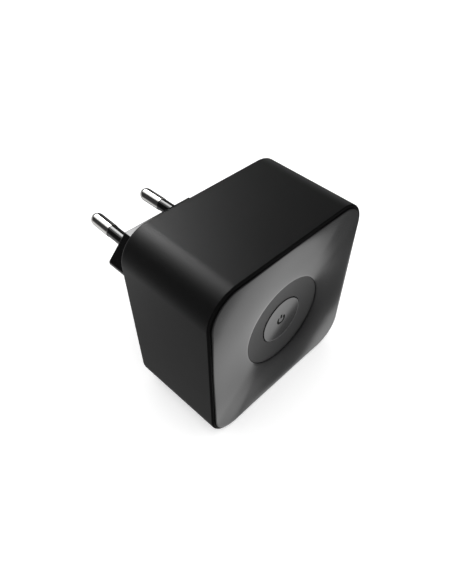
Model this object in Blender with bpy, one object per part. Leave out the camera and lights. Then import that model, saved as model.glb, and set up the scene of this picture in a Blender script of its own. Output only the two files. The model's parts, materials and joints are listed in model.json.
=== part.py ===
"""Plug-in smart-home unit on a two-pin mains plug.

Origin: centre of the plug boss's end face, between the pins. +Y points into the wall outlet,
the front panel faces -Y and +Z is up. Everything is in metres.
"""

import math

import bmesh
import bpy
from mathutils import Matrix

MM = 0.001
GAP = 0.3 * MM

# Casing: a rounded square, seen from the front, behind the plug boss's end face.
CASING_SIZE = 51.2 * MM
CASING_DEPTH = 27.4 * MM
CORNER_RADIUS = 8.2 * MM
WALL = 2.2 * MM
RIM_FILLET = 0.5 * MM
REAR_CHAMFER = 0.3 * MM
COVER_SEAT_INSET = 1.3 * MM
PANEL_MARGIN = 0.7 * MM

# Plug: two 4 mm pins that lean towards each other, on a hexagonal boss.
BOSS_DEPTH = 20.3 * MM
BOSS_WIDTH = 35.3 * MM
BOSS_HEIGHT = 13.7 * MM
BOSS_BLUNT = 0.45 * MM
BOSS_WALL = 1.6 * MM
BOSS_END_WALL = 2.6 * MM
PIN_RADIUS = 2.0 * MM
PIN_LENGTH = 19.0 * MM
PIN_SPACING_BASE = 18.6 * MM
PIN_SPACING_TIP = 17.7 * MM
SLEEVE_LENGTH = 10.0 * MM
SLEEVE_RADIUS = 1.9 * MM
PIN_CORE_RADIUS = 1.1 * MM
PIN_TAIL = 7.0 * MM
PIN_HOLE_REACH = 6.0 * MM
SLEEVE_TAIL = 0.6 * MM
TERMINAL_STRIP = 0.6 * MM
TERMINAL_HALF_WIDTH = 2.0 * MM
TERMINAL_INNER = 2.0 * MM
TERMINAL_OUTER = 1.8 * MM

# Front: a dished panel, a ring sunk into it and a round button.
PANEL_THICKNESS = 1.4 * MM
RING_RADIUS = 12.75 * MM
BUTTON_RADIUS = 6.53 * MM
DISH_CENTRE_DEPTH = 1.67 * MM
DISH_RING_DEPTH = 0.92 * MM
PANEL_PROUD = 0.16 * MM
PANEL_WAVE = 0.1 * MM
PANEL_EDGE_SLOPE = 0.53
PANEL_SIDE_SWELL = 0.52
PANEL_STEPS = 6
RING_SUNK = 0.13 * MM
RING_FLANGE_REACH = 1.3 * MM
RING_FLANGE = 0.8 * MM
CAP_FLANGE_REACH = 1.6 * MM
CAP_FLANGE = 0.7 * MM
CAP_STEM_RADIUS = 1.4 * MM
BUTTON_TRAVEL = 0.5 * MM
MARK_RADIUS = 1.5 * MM
MARK_STROKE = 0.5 * MM
MARK_DEPTH = 0.3 * MM
MARK_OPENING = math.radians(38)
MARK_BAR_LENGTH = 1.38 * MM
MARK_BAR_Z = 1.08 * MM
MARK_STEPS = 24

# Planes along Y that the pieces are stacked on.
REAR_Y = -BOSS_DEPTH
FRONT_Y = REAR_Y - CASING_DEPTH
COVER_THICKNESS = 2.0 * MM
POWER_BOARD_Y = REAR_Y - COVER_THICKNESS - 1.1 * MM
BOARD_THICKNESS = 1.6 * MM
LOGIC_BOARD_Y = -38.8 * MM
LOGIC_BOARD_THICKNESS = 1.2 * MM
LOGIC_FRONT_Y = LOGIC_BOARD_Y - LOGIC_BOARD_THICKNESS
CARRIER_Y = -42.6 * MM
CARRIER_THICKNESS = 1.2 * MM
SHEET_Y = -34.2 * MM
SHEET_THICKNESS = 0.4 * MM
SHEET_HALF = 17.6 * MM
SHEET_CORNER_RADIUS = 6.0 * MM

# Carrier behind the panel: an opening for the button, windows for the lights, four legs.
CARRIER_OPENING_MARGIN = 2.2 * MM
LIGHT_REACH = 10.8 * MM
LIGHT_WINDOW_RADIUS = 1.3 * MM
LEG_REACH = 19.0 * MM
LEG_RADIUS = 1.5 * MM

# Key switch behind the button.
SWITCH_SIDE = 6.0 * MM
SWITCH_DEPTH = 1.6 * MM
SWITCH_FLOOR = 0.3 * MM
PLUNGER_RADIUS = 1.5 * MM
PLUNGER_REACH = 2.2 * MM
PLUNGER_CHAMFER = 0.2 * MM

# Parts on the logic board: width along X, height along Z, centre (x, z), thickness.
BOARD_CORNER_SIZE = 7.6 * MM
BOARD_CORNER_PLACE = 1.16
BOARD_RELIEF = 0.6 * MM
RADIO_BOARD = (16.0 * MM, 17.0 * MM, (0.0, 11.5 * MM), 0.8 * MM)
RADIO_SHIELD = (13.0 * MM, 10.0 * MM, (0.0, 9.0 * MM), 1.9 * MM)
PROCESSOR = (7.0 * MM, 7.0 * MM, (-9.0 * MM, -9.0 * MM), 0.9 * MM)
LIGHT_SIZE = (1.6 * MM, 0.8 * MM, 0.7 * MM)
LINK_CENTRE_X = 15.0 * MM
LINK_SIZE = (2.5 * MM, 10.2 * MM)
LINK_BAR_DEPTH = 2.5 * MM
LINK_PINS = 4
LINK_PIN_PITCH = 2.54 * MM
LINK_PIN_SIDE = 0.64 * MM
LINK_NOTCH = (3.4 * MM, 3.0 * MM, 11.4 * MM)

# Parts on the power board.
POWER_BOARD_HALF_X = 15.2 * MM
POWER_BOARD_HALF_Z = 20.0 * MM
POWER_BOARD_RADIUS = 2.0 * MM
STAND_OFF = 0.1 * MM
TRANSFORMER_X = -6.0 * MM
TRANSFORMER_Y = 3.9 * MM
WINDING_SIZE = (8.6 * MM, 6.6 * MM, 7.4 * MM)
WINDING_EDGE = 0.8 * MM
CORE_SIZE = (11.6 * MM, 7.6 * MM, 11.0 * MM)
CORE_EDGE = 0.3 * MM
CORE_WINDOW_SIZE = (9.2 * MM, 12.0 * MM, 8.0 * MM)
RECTIFIER_SIZE = (4.2 * MM, 2.4 * MM, 6.2 * MM)
RECTIFIER_PLACE = (11.2 * MM, -12.5 * MM)
RECTIFIER_EDGE = 0.2 * MM
VARISTOR_PLACE = (3.6 * MM, 13.8 * MM)
VARISTOR_RADIUS = 3.6 * MM
VARISTOR_FACE_RADIUS = 2.6 * MM
VARISTOR_HALF = 1.5 * MM
VARISTOR_RIM_HALF = 0.8 * MM
ROUND_PART_RIM = 0.3 * MM

# Screws in the back plate.
SCREW_OFFSET = 18.6 * MM
SCREW_HEAD_RADIUS = 2.1 * MM
SCREW_SHANK_RADIUS = 0.9 * MM
SCREW_SEAT_DEPTH = 1.2 * MM
SCREW_LENGTH = 10.0 * MM
SCREW_POINT = 1.0 * MM
SCREW_HEAD_SUNK = 0.2 * MM
SCREW_HEAD_EDGE = 0.2 * MM
RECESS_LENGTH = 2.4 * MM
RECESS_WIDTH = 0.5 * MM
RECESS_DEPTH = 0.5 * MM
POST_RADIUS = 3.0 * MM
POST_FLOOR = 4.0 * MM
POST_WEB_PLACE = 1.1
POST_WEB_LENGTH = 4.6 * MM
POST_WEB_WIDTH = 1.6 * MM

# Recess for a rating label, in the back plate under the boss.
LABEL_SIZE = (26.0 * MM, 7.0 * MM)
LABEL_Z = -14.5 * MM
LABEL_DEPTH = 0.25 * MM

ROUND_STEPS = 48
CORNER_STEPS = 8
HALF_SIDE_STEPS = 4

BLACK_SATIN = ("black_satin_plastic", (0.020, 0.020, 0.021), 0.42, 0.0)
BLACK_GLOSS = ("black_gloss_plastic", (0.012, 0.012, 0.013), 0.08, 0.0)
SMOKED = ("smoked_light_guide", (0.030, 0.030, 0.032), 0.36, 0.0)
NICKEL = ("nickel_plated_brass", (0.62, 0.60, 0.57), 0.16, 1.0)
SLEEVE_BLACK = ("sleeve_nylon", (0.015, 0.015, 0.016), 0.3, 0.0)
BRASS = ("contact_brass", (0.70, 0.55, 0.28), 0.3, 1.0)
STEEL = ("screw_steel", (0.30, 0.30, 0.31), 0.35, 1.0)
BOARD_GREEN = ("board_laminate", (0.03, 0.16, 0.08), 0.45, 0.0)
CARRIER_WHITE = ("carrier_white_plastic", (0.72, 0.72, 0.70), 0.5, 0.0)
SHIELD_TIN = ("shield_tin", (0.70, 0.70, 0.68), 0.3, 1.0)
CHIP_BLACK = ("chip_epoxy", (0.02, 0.02, 0.02), 0.5, 0.0)
LED_CLEAR = ("led_lens", (0.85, 0.84, 0.72), 0.2, 0.0)
FERRITE = ("ferrite", (0.06, 0.06, 0.06), 0.6, 0.0)
TAPE_YELLOW = ("winding_tape", (0.75, 0.55, 0.06), 0.4, 0.0)
CAN_SLEEVE = ("capacitor_sleeve", (0.02, 0.03, 0.10), 0.35, 0.0)
VARISTOR_BLUE = ("varistor_blue", (0.03, 0.10, 0.40), 0.4, 0.0)
FISH_PAPER = ("insulating_sheet", (0.55, 0.52, 0.42), 0.7, 0.0)

# Round parts lying along Z on the power board: radius, length, centre (x, z), finish.
ROUND_PARTS = {
    "input_capacitor_upper": (3.15 * MM, 11.0 * MM, (-8.0 * MM, 13.2 * MM), CAN_SLEEVE),
    "input_capacitor_lower": (3.15 * MM, 11.0 * MM, (-8.0 * MM, -13.2 * MM), CAN_SLEEVE),
    "output_capacitor": (2.5 * MM, 9.0 * MM, (4.5 * MM, -13.8 * MM), CAN_SLEEVE),
    "fuse": (1.6 * MM, 8.0 * MM, (11.0 * MM, 14.5 * MM), CARRIER_WHITE),
    "noise_choke": (2.2 * MM, 7.5 * MM, (4.5 * MM, 0.0), FERRITE),
}


def clear_scene():
    for obj in list(bpy.data.objects):
        bpy.data.objects.remove(obj, do_unlink=True)


def material(finish):
    name, colour, roughness, metallic = finish
    found = bpy.data.materials.get(name)
    if found:
        return found
    made = bpy.data.materials.new(name)
    made.use_nodes = True
    shader = made.node_tree.nodes["Principled BSDF"]
    shader.inputs["Base Color"].default_value = (*colour, 1.0)
    shader.inputs["Roughness"].default_value = roughness
    shader.inputs["Metallic"].default_value = metallic
    return made


def add_object(name, shape, finish, smooth_angle=30):
    """Puts a bmesh into the scene as a named object with its faces pointing out."""
    bmesh.ops.recalc_face_normals(shape, faces=shape.faces)
    mesh = bpy.data.meshes.new(name)
    shape.to_mesh(mesh)
    shape.free()
    mesh.shade_smooth()
    mesh.set_sharp_from_angle(angle=math.radians(smooth_angle))
    obj = bpy.data.objects.new(name, mesh)
    obj.data.materials.append(material(finish))
    bpy.context.scene.collection.objects.link(obj)
    return obj


def modify(obj, operation, tool):
    """Adds a Boolean with a hidden tool object."""
    tool.hide_render = True
    tool.display_type = "WIRE"
    modifier = obj.modifiers.new(f"{operation.lower()}_{tool.name}", "BOOLEAN")
    modifier.operation = operation
    modifier.object = tool
    modifier.solver = "EXACT"


def soften(obj, width, segments=2):
    modifier = obj.modifiers.new("soft_edges", "BEVEL")
    modifier.width = width
    modifier.segments = segments
    modifier.limit_method = "ANGLE"
    modifier.angle_limit = math.radians(40)


def rounded_rectangle(half_x, half_z, radius):
    """Points (x, z) of a rounded rectangle, anticlockwise from the middle of the right side."""
    quarter = []
    for step in range(HALF_SIDE_STEPS):
        quarter.append((half_x, (half_z - radius) * step / HALF_SIDE_STEPS))
    for step in range(CORNER_STEPS):
        angle = math.pi / 2 * step / CORNER_STEPS
        x = half_x - radius + radius * math.cos(angle)
        z = half_z - radius + radius * math.sin(angle)
        quarter.append((x, z))
    for step in range(HALF_SIDE_STEPS):
        quarter.append(((half_x - radius) * (1 - step / HALF_SIDE_STEPS), half_z))
    mirrored = [(-x, z) for x, z in reversed(quarter[1:])]
    upper = quarter + [(0.0, half_z)] + mirrored
    lower = [(-x, -z) for x, z in upper]
    return upper + lower


def rounded_square(half, radius):
    return rounded_rectangle(half, half, radius)


def loft(loops, closed):
    """Bridges loops of 3-D points with equally many points each, into a closed body."""
    shape = bmesh.new()
    rows = [[shape.verts.new(point) for point in loop] for loop in loops]
    count = len(rows[0])
    pairs = list(zip(rows, rows[1:] + rows[:1])) if closed else list(zip(rows, rows[1:]))
    for first, second in pairs:
        for i in range(count):
            j = (i + 1) % count
            shape.faces.new((first[i], first[j], second[j], second[i]))
    if not closed:
        shape.faces.new(rows[0])
        shape.faces.new(list(reversed(rows[-1])))
    return shape


def at_depth(outline, y):
    return [(x, y, z) for x, z in outline]


def slab(name, outline, y_low, y_high, finish):
    """A flat piece: an outline in XZ extruded between two planes along Y."""
    loops = [at_depth(outline, y_low), at_depth(outline, y_high)]
    return add_object(name, loft(loops, closed=False), finish)


def rectangle(width, height, centre=(0.0, 0.0)):
    x, z = centre
    return [
        (x + width / 2, z - height / 2),
        (x + width / 2, z + height / 2),
        (x - width / 2, z + height / 2),
        (x - width / 2, z - height / 2),
    ]


def block(name, centre, size, finish, edge=0.0):
    """A box by its centre and size, with its edges softened."""
    shape = bmesh.new()
    bmesh.ops.create_cube(shape, size=1.0, matrix=Matrix.Diagonal((*size, 1.0)))
    obj = add_object(name, shape, finish)
    obj.location = centre
    if edge:
        soften(obj, edge)
    return obj


def turned(name, profile, finish, steps=ROUND_STEPS):
    """Spins a closed (radius, y) profile about the Y axis; one that touches the axis ends on it."""
    shape = bmesh.new()
    points = [shape.verts.new((radius, y, 0.0)) for radius, y in profile]
    edges = [shape.edges.new((a, b)) for a, b in zip(points, points[1:])]
    if profile[0][0] > 0:
        edges.append(shape.edges.new((points[-1], points[0])))
    bmesh.ops.spin(
        shape,
        geom=points + edges,
        cent=(0, 0, 0),
        axis=(0, 1, 0),
        angle=2 * math.pi,
        steps=steps,
        use_merge=True,
    )
    bmesh.ops.remove_doubles(shape, verts=shape.verts, dist=0.01 * MM)
    return add_object(name, shape, finish)


def rod(name, radius, y_low, y_high, centre, steps=24):
    """A plain cylinder along Y, for posts and for cutting holes."""
    profile = [(0.0, y_low), (radius, y_low), (radius, y_high), (0.0, y_high)]
    obj = turned(name, profile, BLACK_SATIN, steps)
    obj.location = (centre[0], 0.0, centre[1])
    return obj


def pin_lean():
    """Angle by which each pin leans towards the middle."""
    return math.atan2((PIN_SPACING_BASE - PIN_SPACING_TIP) / 2, PIN_LENGTH)


def place_on_pin(obj, side):
    obj.location = (side * PIN_SPACING_BASE / 2, 0.0, 0.0)
    obj.rotation_euler = (0.0, 0.0, side * pin_lean())


def dish_depth(radius):
    """Depth of the round middle of the dish below the casing's front plane."""
    curve = (DISH_CENTRE_DEPTH - DISH_RING_DEPTH) / RING_RADIUS**2
    return DISH_CENTRE_DEPTH - curve * radius**2


def panel_depth(share, length, angle):
    """Depth of the panel along a ray from the ring (share 0) to the panel's edge (share 1)."""
    edge_depth = -PANEL_PROUD + PANEL_WAVE * math.cos(4 * angle)
    drop = DISH_RING_DEPTH - edge_depth
    ring_slope = 2 * (DISH_CENTRE_DEPTH - DISH_RING_DEPTH) / RING_RADIUS * length / drop
    rise = ring_slope * (share**3 - 2 * share**2 + share)
    rise += 3 * share**2 - 2 * share**3
    rise += PANEL_EDGE_SLOPE * (share**3 - share**2)
    rise -= PANEL_SIDE_SWELL * (1 + math.cos(4 * angle)) * (share * (1 - share)) ** 2
    return DISH_RING_DEPTH - drop * rise


def corner_places(offset):
    return [(x, z) for z in (offset, -offset) for x in (offset, -offset)]


def make_casing():
    half = CASING_SIZE / 2
    seat_half = half - PANEL_MARGIN + GAP
    stations = [
        (half - REAR_CHAMFER, REAR_Y),
        (half, REAR_Y - REAR_CHAMFER),
        (half, FRONT_Y + RIM_FILLET),
        (half - 0.15 * RIM_FILLET, FRONT_Y + 0.5 * RIM_FILLET),
        (half - 0.5 * RIM_FILLET, FRONT_Y + 0.15 * RIM_FILLET),
        (seat_half + 0.02 * MM, FRONT_Y),
        (seat_half, FRONT_Y + PANEL_THICKNESS + GAP),
        (half - WALL, FRONT_Y + PANEL_THICKNESS + GAP),
        (half - WALL, REAR_Y - COVER_THICKNESS - GAP),
        (half - COVER_SEAT_INSET, REAR_Y - COVER_THICKNESS - GAP),
        (half - COVER_SEAT_INSET, REAR_Y),
    ]
    loops = []
    for station_half, y in stations:
        radius = CORNER_RADIUS - (half - station_half)
        loops.append(at_depth(rounded_square(station_half, radius), y))
    casing = add_object("casing", loft(loops, closed=True), BLACK_SATIN)
    post_rear = REAR_Y - COVER_THICKNESS - GAP
    post_front = CARRIER_Y + GAP
    for number, place in enumerate(corner_places(SCREW_OFFSET), start=1):
        post = rod(f"post_{number}", POST_RADIUS, post_front, post_rear, place)
        web_place = [value * POST_WEB_PLACE for value in place]
        web_turn = -45 if place[0] * place[1] > 0 else 45
        web = block(
            f"post_web_{number}",
            (web_place[0], (post_front + post_rear) / 2, web_place[1]),
            (POST_WEB_LENGTH, post_rear - post_front, POST_WEB_WIDTH),
            BLACK_SATIN,
        )
        web.rotation_euler = (0.0, math.radians(web_turn), 0.0)
        bore_front = post_front + POST_FLOOR
        bore = rod(f"post_bore_{number}", SCREW_SHANK_RADIUS + GAP, bore_front, post_rear + MM, place)
        modify(casing, "UNION", web)
        modify(casing, "UNION", post)
        modify(casing, "DIFFERENCE", bore)


def make_front_panel():
    half = CASING_SIZE / 2 - PANEL_MARGIN
    outline = rounded_square(half, CORNER_RADIUS - PANEL_MARGIN)
    front, back = [], []
    for step in range(PANEL_STEPS + 1):
        share = step / PANEL_STEPS
        front_loop, back_loop = [], []
        for x, z in outline:
            angle = math.atan2(z, x)
            reach = math.hypot(x, z)
            radius = RING_RADIUS + (reach - RING_RADIUS) * share
            depth = panel_depth(share, reach - RING_RADIUS, angle)
            point = (radius * math.cos(angle), radius * math.sin(angle))
            front_loop.append((point[0], FRONT_Y + depth, point[1]))
            back_loop.append((point[0], FRONT_Y + depth + PANEL_THICKNESS, point[1]))
        front.append(front_loop)
        back.append(back_loop)
    add_object("front_panel", loft(front + back[::-1], closed=True), BLACK_GLOSS, 40)


def dished_profile(inner, outer, sunk, steps):
    """(radius, y) points of a turned front face that follows the dish."""
    points = []
    for step in range(steps + 1):
        radius = inner + (outer - inner) * step / steps
        points.append((radius, FRONT_Y + dish_depth(radius) + sunk))
    return points


def make_light_ring():
    bore = BUTTON_RADIUS + GAP
    front = dished_profile(bore, RING_RADIUS - GAP, RING_SUNK, 4)
    flange_y = FRONT_Y + DISH_RING_DEPTH + PANEL_THICKNESS + GAP
    profile = front + [
        (RING_RADIUS - GAP, flange_y),
        (RING_RADIUS + RING_FLANGE_REACH, flange_y),
        (RING_RADIUS + RING_FLANGE_REACH, flange_y + RING_FLANGE),
        (bore, flange_y + RING_FLANGE),
    ]
    turned("light_ring", profile, SMOKED)


def mark_outline():
    """Outline of the cap's mark, the common power sign: an open ring, as one closed loop."""
    start = math.pi / 2 + MARK_OPENING
    sweep = 2 * math.pi - 2 * MARK_OPENING
    angles = [start + sweep * step / MARK_STEPS for step in range(MARK_STEPS + 1)]
    loop = [(MARK_RADIUS * math.cos(a), MARK_RADIUS * math.sin(a)) for a in angles]
    inner_radius = MARK_RADIUS - MARK_STROKE
    loop += [(inner_radius * math.cos(a), inner_radius * math.sin(a)) for a in reversed(angles)]
    return loop


def make_button_cap():
    front = dished_profile(0.0, BUTTON_RADIUS, 0.0, 3)
    flange_front = FRONT_Y + DISH_RING_DEPTH + PANEL_THICKNESS + 2 * GAP + RING_FLANGE
    flange_back = flange_front + CAP_FLANGE
    stem_end = LOGIC_FRONT_Y - GAP - PLUNGER_REACH - GAP
    profile = front + [
        (BUTTON_RADIUS, flange_front),
        (BUTTON_RADIUS + CAP_FLANGE_REACH, flange_front),
        (BUTTON_RADIUS + CAP_FLANGE_REACH, flange_back),
        (CAP_STEM_RADIUS, flange_back),
        (CAP_STEM_RADIUS, stem_end),
        (0.0, stem_end),
    ]
    cap = turned("button_cap", profile, BLACK_GLOSS)
    floor_y = FRONT_Y + DISH_CENTRE_DEPTH + MARK_DEPTH
    ring_cut = slab("mark_ring_cut", mark_outline(), FRONT_Y, floor_y, BLACK_GLOSS)
    bar = rectangle(MARK_STROKE, MARK_BAR_LENGTH, (0.0, MARK_BAR_Z))
    bar_cut = slab("mark_bar_cut", bar, FRONT_Y, floor_y, BLACK_GLOSS)
    modify(cap, "DIFFERENCE", ring_cut)
    modify(cap, "DIFFERENCE", bar_cut)


def make_front_carrier():
    half = CASING_SIZE / 2 - WALL - GAP
    outline = rounded_square(half, CORNER_RADIUS - WALL - GAP)
    carrier = slab("front_carrier", outline, CARRIER_Y - CARRIER_THICKNESS, CARRIER_Y, CARRIER_WHITE)
    cut_front = CARRIER_Y - CARRIER_THICKNESS - MM
    cut_back = CARRIER_Y + MM
    opening_radius = BUTTON_RADIUS + CARRIER_OPENING_MARGIN
    opening = rod("carrier_opening", opening_radius, cut_front, cut_back, (0.0, 0.0), ROUND_STEPS)
    modify(carrier, "DIFFERENCE", opening)
    for number, place in enumerate(led_places(), start=1):
        window = rod(f"led_window_{number}", LIGHT_WINDOW_RADIUS, cut_front, cut_back, place)
        modify(carrier, "DIFFERENCE", window)
    legs = [(LEG_REACH, 0.0), (-LEG_REACH, 0.0), (0.0, LEG_REACH), (0.0, -LEG_REACH)]
    leg_front = CARRIER_Y - CARRIER_THICKNESS / 2
    for number, place in enumerate(legs, start=1):
        leg = rod(f"carrier_leg_{number}", LEG_RADIUS, leg_front, LOGIC_FRONT_Y - GAP, place)
        modify(carrier, "UNION", leg)


def led_places():
    diagonal = LIGHT_REACH / math.sqrt(2)
    return [(diagonal, diagonal), (-diagonal, diagonal), (-diagonal, -diagonal), (diagonal, -diagonal)]


def boss_outline(inset):
    """Hexagon with slightly blunted ends, in XZ; inset moves every side inwards."""
    half_height = BOSS_HEIGHT / 2 - inset
    side = BOSS_WIDTH / 2 - inset * math.sqrt(2)
    flat = side + BOSS_BLUNT - half_height
    return [
        (side, -BOSS_BLUNT),
        (side, BOSS_BLUNT),
        (flat, half_height),
        (-flat, half_height),
        (-side, BOSS_BLUNT),
        (-side, -BOSS_BLUNT),
        (-flat, -half_height),
        (flat, -half_height),
    ]


def make_rear_cover():
    half = CASING_SIZE / 2 - COVER_SEAT_INSET - GAP
    inner_y = REAR_Y - COVER_THICKNESS
    outline = rounded_square(half, CORNER_RADIUS - COVER_SEAT_INSET - GAP)
    cover = slab("rear_cover", outline, inner_y, REAR_Y, BLACK_SATIN)
    boss = slab("boss_block", boss_outline(0.0), REAR_Y - MM, 0.0, BLACK_SATIN)
    hollow = slab("boss_hollow", boss_outline(BOSS_WALL), inner_y - MM, -BOSS_END_WALL, BLACK_SATIN)
    modify(cover, "UNION", boss)
    modify(cover, "DIFFERENCE", hollow)
    for name, side in (("left", -1), ("right", 1)):
        hole = rod(f"pin_hole_{name}", SLEEVE_RADIUS + GAP, -PIN_HOLE_REACH, PIN_HOLE_REACH, (0.0, 0.0))
        place_on_pin(hole, side)
        modify(cover, "DIFFERENCE", hole)
    seat_y = REAR_Y - SCREW_SEAT_DEPTH
    stepped = [
        (0.0, inner_y - MM),
        (SCREW_SHANK_RADIUS + GAP, inner_y - MM),
        (SCREW_SHANK_RADIUS + GAP, seat_y),
        (SCREW_HEAD_RADIUS + GAP, seat_y),
        (SCREW_HEAD_RADIUS + GAP, REAR_Y + MM),
        (0.0, REAR_Y + MM),
    ]
    for number, place in enumerate(corner_places(SCREW_OFFSET), start=1):
        seat = turned(f"screw_seat_{number}", stepped, BLACK_SATIN, 24)
        seat.location = (place[0], 0.0, place[1])
        modify(cover, "DIFFERENCE", seat)
    label_outline = rectangle(*LABEL_SIZE, (0.0, LABEL_Z))
    label = slab("label_recess", label_outline, REAR_Y - LABEL_DEPTH, REAR_Y + MM, BLACK_SATIN)
    modify(cover, "DIFFERENCE", label)


def make_cover_screws():
    head_back = REAR_Y - SCREW_HEAD_SUNK
    head_front = REAR_Y - SCREW_SEAT_DEPTH + GAP
    tip = REAR_Y - SCREW_LENGTH
    profile = [
        (0.0, head_back),
        (SCREW_HEAD_RADIUS - SCREW_HEAD_EDGE, head_back),
        (SCREW_HEAD_RADIUS, head_back - SCREW_HEAD_EDGE),
        (SCREW_HEAD_RADIUS, head_front),
        (SCREW_SHANK_RADIUS, head_front),
        (SCREW_SHANK_RADIUS, tip + SCREW_POINT),
        (SCREW_SHANK_RADIUS / 2, tip),
        (0.0, tip),
    ]
    for number, place in enumerate(corner_places(SCREW_OFFSET), start=1):
        screw = turned(f"cover_screw_{number}", profile, STEEL, 20)
        screw.location = (place[0], 0.0, place[1])
        for label, width, height in (
            ("slot", RECESS_LENGTH, RECESS_WIDTH),
            ("cross", RECESS_WIDTH, RECESS_LENGTH),
        ):
            outline = rectangle(width, height)
            name = f"screw_{label}_{number}"
            cutter = slab(name, outline, head_back - RECESS_DEPTH, head_back + MM, STEEL)
            cutter.location = screw.location
            modify(screw, "DIFFERENCE", cutter)


def pin_profile():
    """(radius, y) of a pin: tail and core inside the sleeve, then the bare round-nosed end."""
    nose_steps = 8
    shoulder = SLEEVE_LENGTH + GAP / 2
    nose_centre = PIN_LENGTH - PIN_RADIUS
    profile = [
        (0.0, -PIN_TAIL),
        (PIN_CORE_RADIUS, -PIN_TAIL),
        (PIN_CORE_RADIUS, shoulder),
        (PIN_RADIUS, shoulder),
    ]
    for step in range(nose_steps + 1):
        angle = math.pi / 2 * step / nose_steps
        profile.append((PIN_RADIUS * math.cos(angle), nose_centre + PIN_RADIUS * math.sin(angle)))
    profile[-1] = (0.0, PIN_LENGTH)
    return profile


def make_plug_pins():
    bore = PIN_CORE_RADIUS + GAP
    sleeve_rear = -BOSS_END_WALL - SLEEVE_TAIL
    sleeve_end = SLEEVE_LENGTH - GAP / 2
    sleeve_profile = [
        (bore, sleeve_rear),
        (SLEEVE_RADIUS, sleeve_rear),
        (SLEEVE_RADIUS, sleeve_end),
        (bore, sleeve_end),
    ]
    for name, side in (("left", -1), ("right", 1)):
        place_on_pin(turned(f"plug_pin_{name}", pin_profile(), NICKEL, 32), side)
        place_on_pin(turned(f"pin_sleeve_{name}", sleeve_profile, SLEEVE_BLACK, 32), side)


def make_terminals():
    """Brass strips: a foot behind each pin's tail, and a leg back to the power board."""
    foot_y = -PIN_TAIL - GAP
    board_y = POWER_BOARD_Y + GAP
    for name, side in (("left", -1), ("right", 1)):
        inner = side * (PIN_SPACING_BASE / 2 - TERMINAL_INNER)
        outer = side * (PIN_SPACING_BASE / 2 + TERMINAL_OUTER)
        leg = inner + side * TERMINAL_STRIP
        loops = []
        for z in (-TERMINAL_HALF_WIDTH, TERMINAL_HALF_WIDTH):
            loops.append([
                (outer, foot_y, z),
                (outer, foot_y - TERMINAL_STRIP, z),
                (leg, foot_y - TERMINAL_STRIP, z),
                (leg, board_y, z),
                (inner, board_y, z),
                (inner, foot_y, z),
            ])
        add_object(f"terminal_{name}", loft(loops, closed=False), BRASS)


def make_logic_board():
    half = CASING_SIZE / 2 - WALL - GAP
    outline = rounded_square(half, CORNER_RADIUS - WALL - GAP)
    board = slab("logic_board", outline, LOGIC_FRONT_Y, LOGIC_BOARD_Y, BOARD_GREEN)
    cut_front = LOGIC_FRONT_Y - MM
    cut_back = LOGIC_BOARD_Y + MM
    for number, place in enumerate(corner_places(SCREW_OFFSET), start=1):
        relief = rod(f"board_relief_{number}", POST_RADIUS + BOARD_RELIEF, cut_front, cut_back, place)
        corner = block(
            f"board_corner_{number}",
            (place[0] * BOARD_CORNER_PLACE, LOGIC_BOARD_Y, place[1] * BOARD_CORNER_PLACE),
            (BOARD_CORNER_SIZE, 4 * MM, BOARD_CORNER_SIZE),
            BOARD_GREEN,
        )
        modify(board, "DIFFERENCE", relief)
        modify(board, "DIFFERENCE", corner)


def board_part(name, values, front, finish, edge, segments):
    """A flat rectangular part behind the logic board, with softened edges."""
    width, height, centre, thickness = values
    part = slab(name, rectangle(width, height, centre), front, front + thickness, finish)
    soften(part, edge, segments)


def make_logic_parts():
    rear = LOGIC_BOARD_Y + GAP
    shield_front = rear + RADIO_BOARD[3] + GAP
    board_part("radio_board", RADIO_BOARD, rear, BOARD_GREEN, 0.1 * MM, 1)
    board_part("radio_shield", RADIO_SHIELD, shield_front, SHIELD_TIN, 0.25 * MM, 2)
    board_part("processor_chip", PROCESSOR, rear, CHIP_BLACK, 0.1 * MM, 1)
    width, height, thickness = LIGHT_SIZE
    light_front = LOGIC_FRONT_Y - GAP - thickness
    for number, place in enumerate(led_places(), start=1):
        values = (width, height, place, thickness)
        board_part(f"status_led_{number}", values, light_front, LED_CLEAR, 0.08 * MM, 1)


def make_key_switch():
    """The low key switch behind the button: a body with a well, and the plunger the cap pushes."""
    back = LOGIC_FRONT_Y - GAP
    outline = rectangle(SWITCH_SIDE, SWITCH_SIDE)
    body = slab("switch_body", outline, back - SWITCH_DEPTH, back, CHIP_BLACK)
    soften(body, 0.15 * MM)
    floor_y = back - SWITCH_FLOOR
    well = rod("switch_well", PLUNGER_RADIUS + GAP, back - SWITCH_DEPTH - MM, floor_y, (0.0, 0.0))
    modify(body, "DIFFERENCE", well)
    tip = back - PLUNGER_REACH
    plunger_back = floor_y - GAP - BUTTON_TRAVEL
    profile = [
        (0.0, tip),
        (PLUNGER_RADIUS - PLUNGER_CHAMFER, tip),
        (PLUNGER_RADIUS, tip + PLUNGER_CHAMFER),
        (PLUNGER_RADIUS, plunger_back),
        (0.0, plunger_back),
    ]
    turned("switch_plunger", profile, CARRIER_WHITE, 24)


def make_board_link():
    """The pin strip that joins the two boards: one moulded bar with four square pins."""
    y_front = LOGIC_BOARD_Y + GAP
    y_back = POWER_BOARD_Y - BOARD_THICKNESS - GAP
    bar = rectangle(*LINK_SIZE, (LINK_CENTRE_X, 0.0))
    link = slab("board_link", bar, y_front, y_front + LINK_BAR_DEPTH, CHIP_BLACK)
    for number in range(LINK_PINS):
        z = (number - (LINK_PINS - 1) / 2) * LINK_PIN_PITCH
        outline = rectangle(LINK_PIN_SIDE, LINK_PIN_SIDE, (LINK_CENTRE_X, z))
        pin = slab(f"link_pin_{number + 1}", outline, y_front + MM, y_back, BRASS)
        modify(link, "UNION", pin)


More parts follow.
